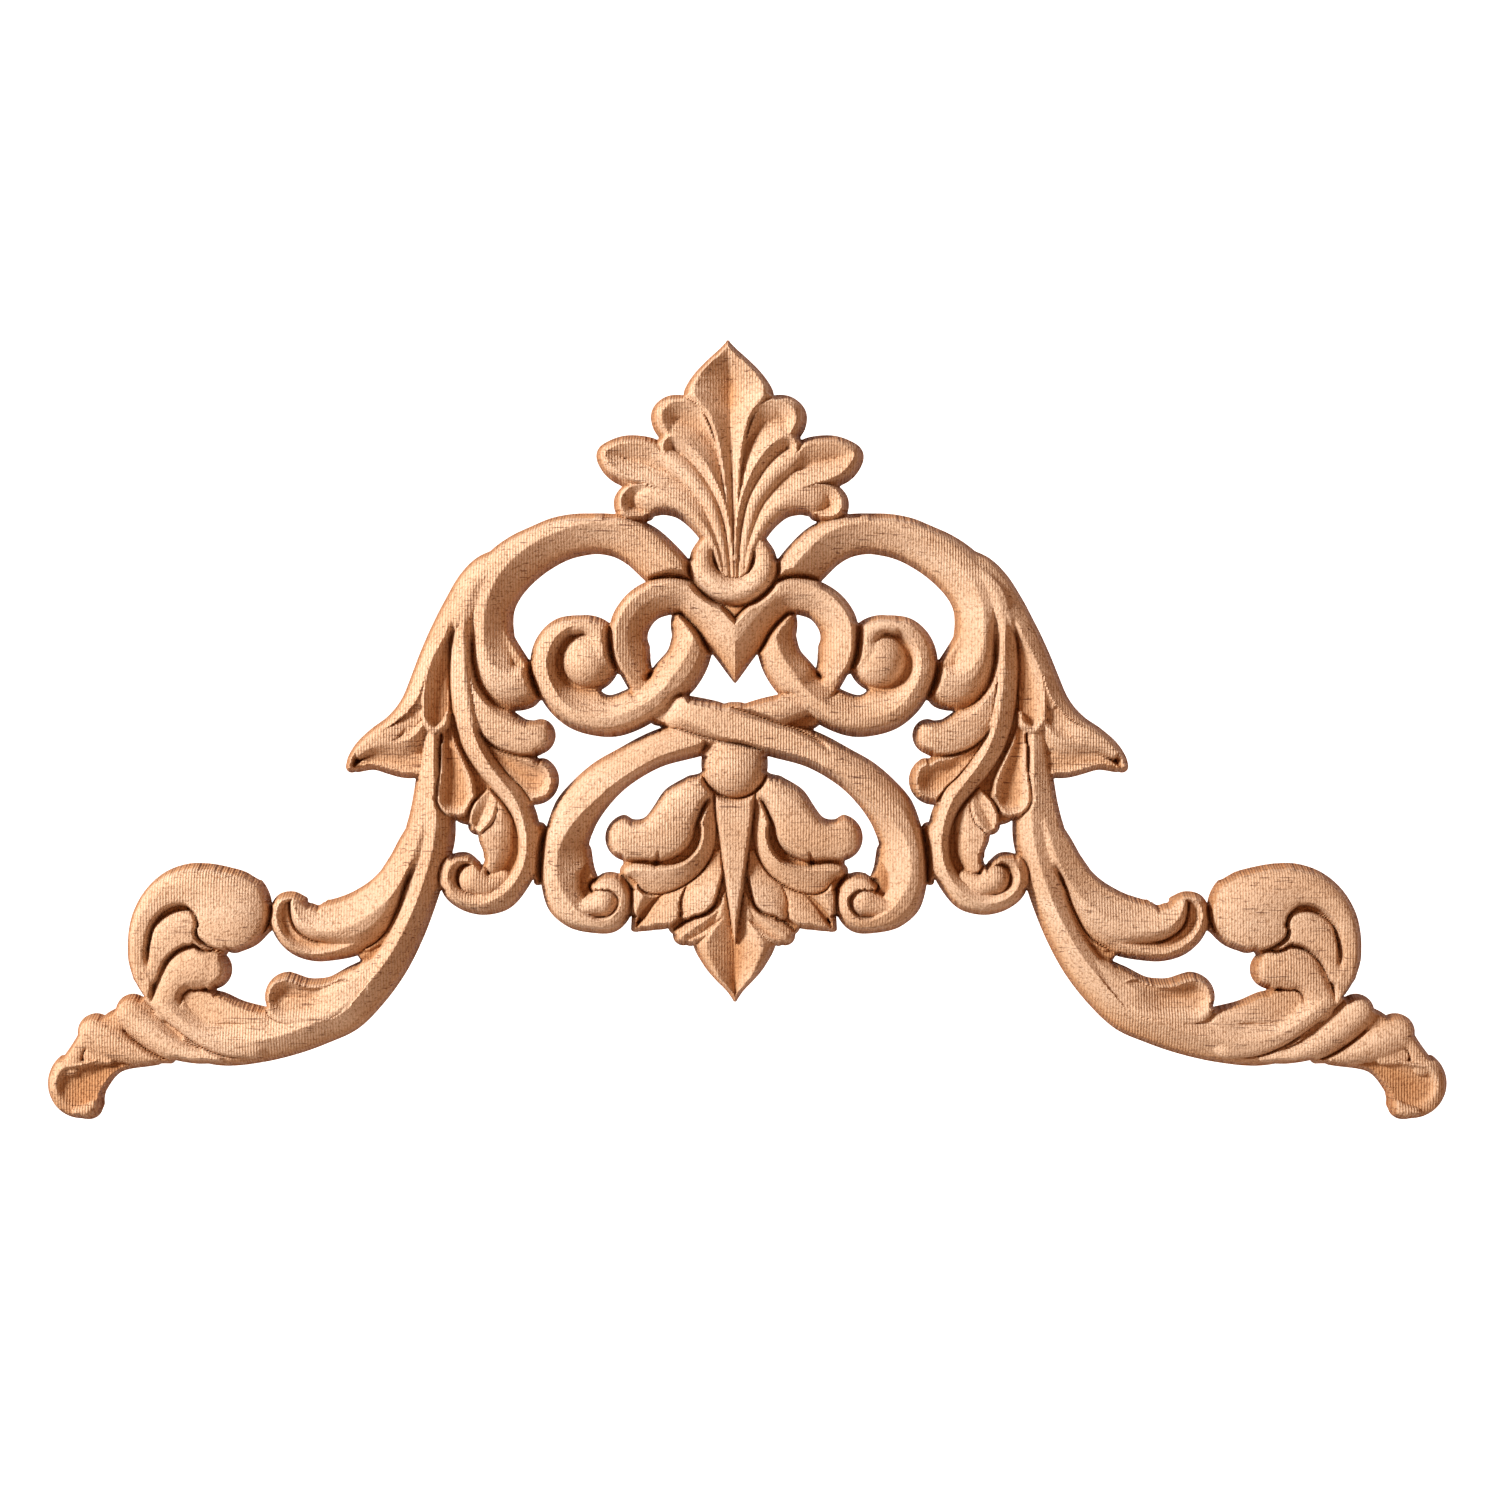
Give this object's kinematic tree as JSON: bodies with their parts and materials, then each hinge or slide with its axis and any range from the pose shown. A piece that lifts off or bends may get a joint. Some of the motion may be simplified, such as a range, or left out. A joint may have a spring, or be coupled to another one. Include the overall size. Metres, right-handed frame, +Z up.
{
  "type": "wooden corner onlay",
  "caption": "Carved wooden onlay with a crown of leaves over paired scrolls and two arms that sweep down and out to round volutes; flat back for gluing to a corner or pediment.",
  "frame": {"origin": "on the flat back, behind the ball in the middle of the carving", "axes": "+X along the width, +Z up, the carved face looks along -Y and the flat back faces +Y"},
  "size_m": [0.4002, 0.0144, 0.223],
  "materials": {
    "raw_wood": "raw, matte, straight from the carving machine"
  },
  "bodies": {
    "root": {"onlay": "raw_wood"}
  },
  "joints": []
}
